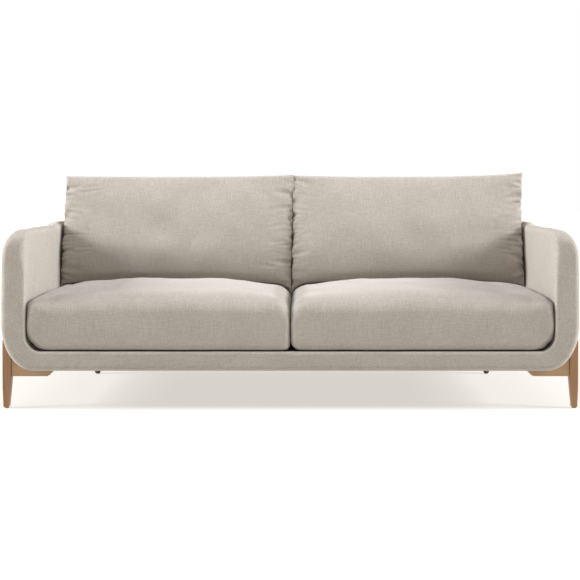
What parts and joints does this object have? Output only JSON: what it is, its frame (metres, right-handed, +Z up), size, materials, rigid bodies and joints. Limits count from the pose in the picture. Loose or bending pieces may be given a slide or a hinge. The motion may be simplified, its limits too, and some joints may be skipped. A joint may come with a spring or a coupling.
{
  "type": "sofa",
  "caption": "Low upholstered sofa with a rounded U-shaped shell, loose seat and back cushions, tapered wooden front legs with brackets and dark rear legs",
  "frame": {"origin": "on the floor, under the centre of the bounding box", "axes": "+X to the sitter's left, the image's right seen from the front; +Y to the rear; +Z up. The sofa faces -Y"},
  "size_m": [2.2, 0.95, 0.8876],
  "materials": {
    "beige_weave": "coarse melange weave",
    "oak": "natural oiled oak",
    "birch_plywood": "raw",
    "pine": "raw",
    "zinc_plated_steel": "zinc plated",
    "webbing": "woven elastic",
    "foam": "cut foam",
    "fibre_filling": "loose fibre",
    "black_lining": "non-woven",
    "black_stained_wood": "matt stain",
    "glide_plastic": "moulded",
    "zip_tape": "woven tape"
  },
  "bodies": {
    "base": {"front_border": "beige_weave", "arm_cover_left": "beige_weave", "arm_cover_right": "beige_weave", "back_cover": "beige_weave", "seat_deck": "beige_weave", "dust_cover": "black_lining", "front_former": "birch_plywood", "rear_former": "birch_plywood", "front_rail": "pine", "rear_rail": "pine", "tail_rail": "pine", "side_rail_left": "pine", "side_rail_right": "pine", "centre_stretcher": "pine", "tail_block_left": "pine", "tail_block_right": "pine", "arm_board_left": "birch_plywood", "arm_board_right": "birch_plywood", "back_post_left": "pine", "back_post_centre": "pine", "back_post_right": "pine", "back_rail": "pine", "back_webbing_1": "webbing", "back_webbing_2": "webbing", "back_webbing_3": "webbing", "seat_spring_1": "zinc_plated_steel", "seat_spring_2": "zinc_plated_steel", "seat_spring_3": "zinc_plated_steel", "seat_spring_4": "zinc_plated_steel", "seat_spring_5": "zinc_plated_steel", "seat_spring_6": "zinc_plated_steel", "front_leg_left": "oak", "front_leg_right": "oak", "leg_bracket_left": "oak", "leg_bracket_right": "oak", "front_glide_left": "glide_plastic", "front_glide_right": "glide_plastic", "rear_leg_left": "black_stained_wood", "rear_leg_right": "black_stained_wood", "rear_leg_stud_left": "zinc_plated_steel", "rear_leg_stud_right": "zinc_plated_steel", "rear_glide_left": "glide_plastic", "rear_glide_right": "glide_plastic", "bracket_bolt_inner_left": "zinc_plated_steel", "bracket_bolt_inner_right": "zinc_plated_steel", "bracket_bolt_outer_left": "zinc_plated_steel", "bracket_bolt_outer_right": "zinc_plated_steel"},
    "seat_cushion_left": {"seat_cover_left": "beige_weave", "seat_foam_left": "foam", "seat_zip_left": "zip_tape"},
    "seat_cushion_right": {"seat_cover_right": "beige_weave", "seat_foam_right": "foam", "seat_zip_right": "zip_tape"},
    "back_cushion_left": {"back_cushion_cover_left": "beige_weave", "back_filling_left": "fibre_filling", "back_cushion_zip_left": "zip_tape"},
    "back_cushion_right": {"back_cushion_cover_right": "beige_weave", "back_filling_right": "fibre_filling", "back_cushion_zip_right": "zip_tape"}
  },
  "joints": [
    {"name": "seat_cushion_left_slide", "type": "slide", "parent": "base", "child": "seat_cushion_left", "axis": [0, -1, 0], "range_m": [0, 0.85]},
    {"name": "seat_cushion_right_slide", "type": "slide", "parent": "base", "child": "seat_cushion_right", "axis": [0, -1, 0], "range_m": [0, 0.85]},
    {"name": "back_cushion_left_lift", "type": "slide", "parent": "base", "child": "back_cushion_left", "axis": [0, 0, 1], "range_m": [0, 0.5]},
    {"name": "back_cushion_right_lift", "type": "slide", "parent": "base", "child": "back_cushion_right", "axis": [0, 0, 1], "range_m": [0, 0.5]}
  ]
}
